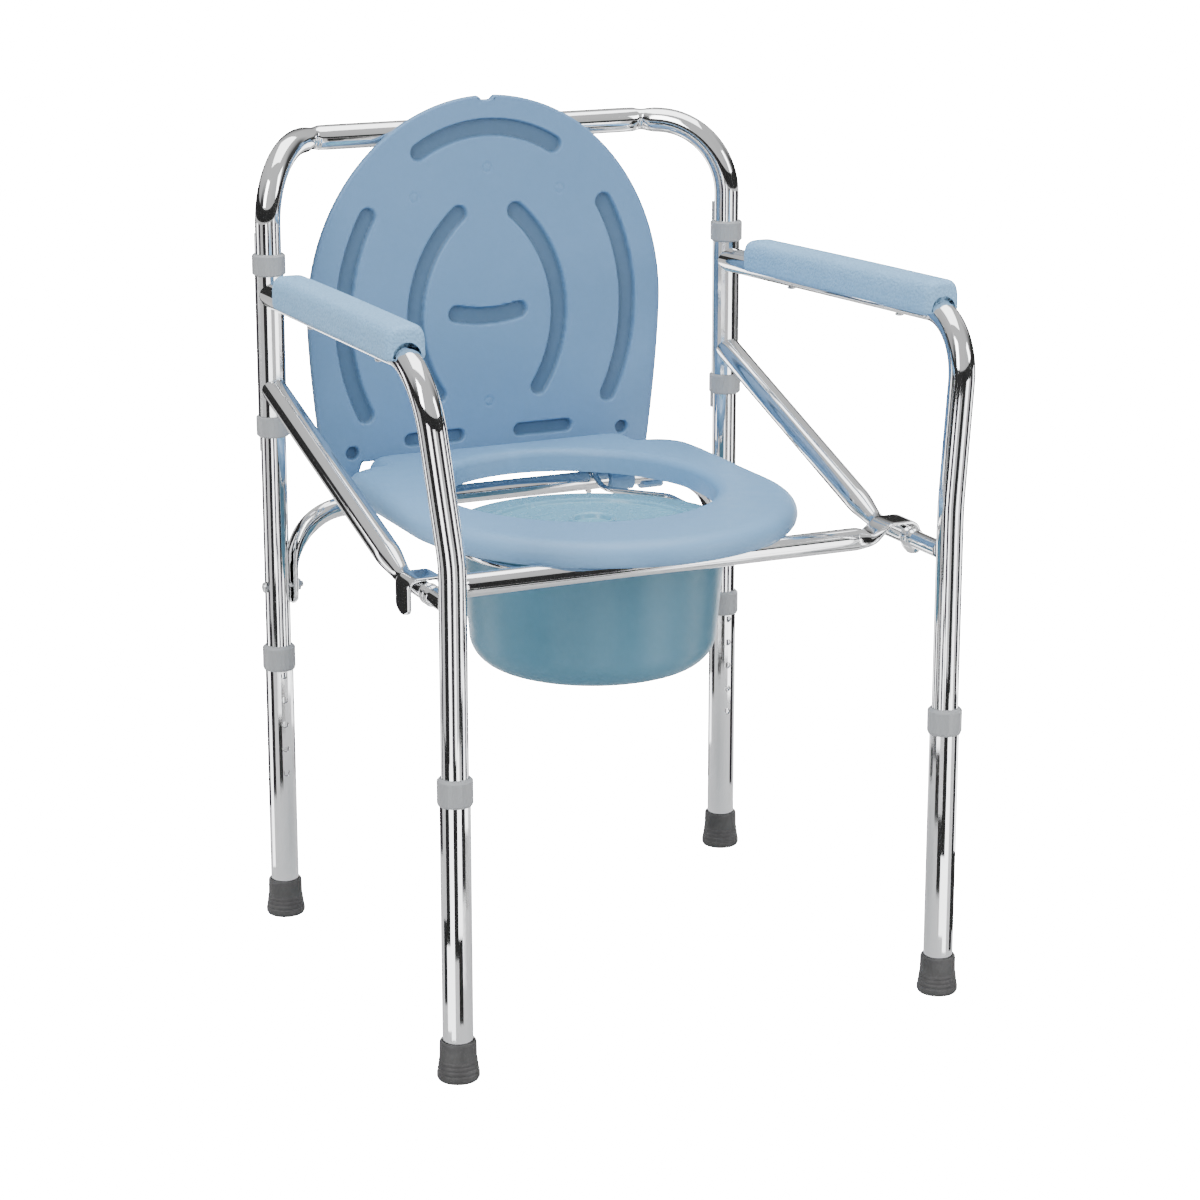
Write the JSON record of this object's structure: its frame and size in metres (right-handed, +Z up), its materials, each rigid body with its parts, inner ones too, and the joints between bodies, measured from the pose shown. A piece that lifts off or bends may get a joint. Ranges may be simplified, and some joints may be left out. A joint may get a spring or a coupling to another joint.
{
  "type": "commode chair",
  "caption": "Folding commode chair: chrome tube frame, pale blue seat with raised lid, lidded pot, padded arms and telescopic legs with rubber feet.",
  "frame": {"origin": "on the floor under the centre of the bounding box", "axes": "+X to the viewer's right when facing the front of the chair, +Y towards the back of the chair, +Z up"},
  "size_m": [0.5666, 0.5554, 0.8105],
  "materials": {
    "chrome": "polished chrome plate on steel tube",
    "zinc": "bright zinc plate",
    "light_grey_plastic": "satin",
    "pad_blue": "leather-grain texture",
    "light_blue_plastic": "fine matt texture",
    "teal_plastic": "glossy",
    "clear_teal_plastic": "glossy, slightly translucent",
    "grey_rubber": "matt"
  },
  "bodies": {
    "back_frame": {"back_frame_tube": "chrome", "rear_seat_rail": "chrome", "rail_bolt_left": "zinc", "rail_nut_left": "zinc", "pivot_ring_upper_left": "light_grey_plastic", "ring_rivet_upper_left": "zinc", "pivot_ring_lower_left": "light_grey_plastic", "ring_rivet_lower_left": "zinc", "rail_bolt_right": "zinc", "rail_nut_right": "zinc", "pivot_ring_upper_right": "light_grey_plastic", "ring_rivet_upper_right": "zinc", "pivot_ring_lower_right": "light_grey_plastic", "ring_rivet_lower_right": "zinc"},
    "side_left": {"pivot_sleeve_left": "chrome", "arm_and_leg_tube_left": "chrome", "brace_tube_left": "chrome", "arm_pad_left": "pad_blue", "arm_pad_screw_front_left": "zinc", "arm_pad_screw_rear_left": "zinc"},
    "side_right": {"pivot_sleeve_right": "chrome", "arm_and_leg_tube_right": "chrome", "brace_tube_right": "chrome", "arm_pad_right": "pad_blue", "arm_pad_screw_front_right": "zinc", "arm_pad_screw_rear_right": "zinc"},
    "seat_frame": {"seat_front_bar": "chrome", "pot_wire": "chrome", "seat": "light_blue_plastic", "seat_clip_left": "light_blue_plastic", "seat_clip_right": "light_blue_plastic"},
    "lid": {"lid": "light_blue_plastic", "lid_hinge_left": "light_blue_plastic", "lid_hinge_right": "light_blue_plastic"},
    "pot": {"pot": "teal_plastic"},
    "pot_lid": {"pot_lid": "clear_teal_plastic"},
    "leg_front_left": {"leg_extension_front_left": "chrome", "leg_collar_front_left": "light_grey_plastic", "foot_front_left": "grey_rubber"},
    "button_front_left": {"leg_button_front_left": "zinc"},
    "leg_front_right": {"leg_extension_front_right": "chrome", "leg_collar_front_right": "light_grey_plastic", "foot_front_right": "grey_rubber"},
    "button_front_right": {"leg_button_front_right": "zinc"},
    "leg_rear_left": {"leg_extension_rear_left": "chrome", "leg_collar_rear_left": "light_grey_plastic", "foot_rear_left": "grey_rubber"},
    "button_rear_left": {"leg_button_rear_left": "zinc"},
    "leg_rear_right": {"leg_extension_rear_right": "chrome", "leg_collar_rear_right": "light_grey_plastic", "foot_rear_right": "grey_rubber"},
    "button_rear_right": {"leg_button_rear_right": "zinc"}
  },
  "joints": [
    {"name": "seat_frame_lift", "type": "hinge", "parent": "back_frame", "child": "seat_frame", "pos_m": [0, 0.1997, 0.418], "axis": [-1, 0, 0], "range_deg": [0, 85]},
    {"name": "lid_close", "type": "hinge", "parent": "back_frame", "child": "lid", "pos_m": [0, 0.1997, 0.418], "axis": [-1, 0, 0], "range_deg": [-88, 0]},
    {"name": "side_swing_left", "type": "hinge", "parent": "back_frame", "child": "side_left", "pos_m": [-0.247, 0.2017, 0.586], "axis": [0, 0, -1], "range_deg": [0, 13]},
    {"name": "side_swing_right", "type": "hinge", "parent": "back_frame", "child": "side_right", "pos_m": [0.247, 0.2017, 0.586], "axis": [0, 0, 1], "range_deg": [0, 13]},
    {"name": "pot_lift", "type": "slide", "parent": "seat_frame", "child": "pot", "axis": [0, 0, -1], "range_m": [-0.008, 0]},
    {"name": "pot_lid_lift", "type": "slide", "parent": "pot", "child": "pot_lid", "axis": [0, 0, 1], "range_m": [0, 0.01]},
    {"name": "leg_slide_front_left", "type": "slide", "parent": "side_left", "child": "leg_front_left", "axis": [0, 0, -1], "range_m": [-0.0254, 0.0762]},
    {"name": "button_press_front_left", "type": "slide", "parent": "side_left", "child": "button_front_left", "axis": [0, -1, 0], "range_m": [0, 0.004], "stiffness_N_per_m": 600, "springref_m": -0.008},
    {"name": "leg_slide_front_right", "type": "slide", "parent": "side_right", "child": "leg_front_right", "axis": [0, 0, -1], "range_m": [-0.0254, 0.0762]},
    {"name": "button_press_front_right", "type": "slide", "parent": "side_right", "child": "button_front_right", "axis": [0, -1, 0], "range_m": [0, 0.004], "stiffness_N_per_m": 600, "springref_m": -0.008},
    {"name": "leg_slide_rear_left", "type": "slide", "parent": "back_frame", "child": "leg_rear_left", "axis": [0, 0, -1], "range_m": [-0.0254, 0.0762]},
    {"name": "button_press_rear_left", "type": "slide", "parent": "back_frame", "child": "button_rear_left", "axis": [0, 1, 0], "range_m": [0, 0.004], "stiffness_N_per_m": 600, "springref_m": -0.008},
    {"name": "leg_slide_rear_right", "type": "slide", "parent": "back_frame", "child": "leg_rear_right", "axis": [0, 0, -1], "range_m": [-0.0254, 0.0762]},
    {"name": "button_press_rear_right", "type": "slide", "parent": "back_frame", "child": "button_rear_right", "axis": [0, 1, 0], "range_m": [0, 0.004], "stiffness_N_per_m": 600, "springref_m": -0.008}
  ],
  "couplings": [
    {"joint": "side_swing_left", "follows": "seat_frame_lift", "ratio": 0.15},
    {"joint": "side_swing_right", "follows": "seat_frame_lift", "ratio": 0.15}
  ]
}
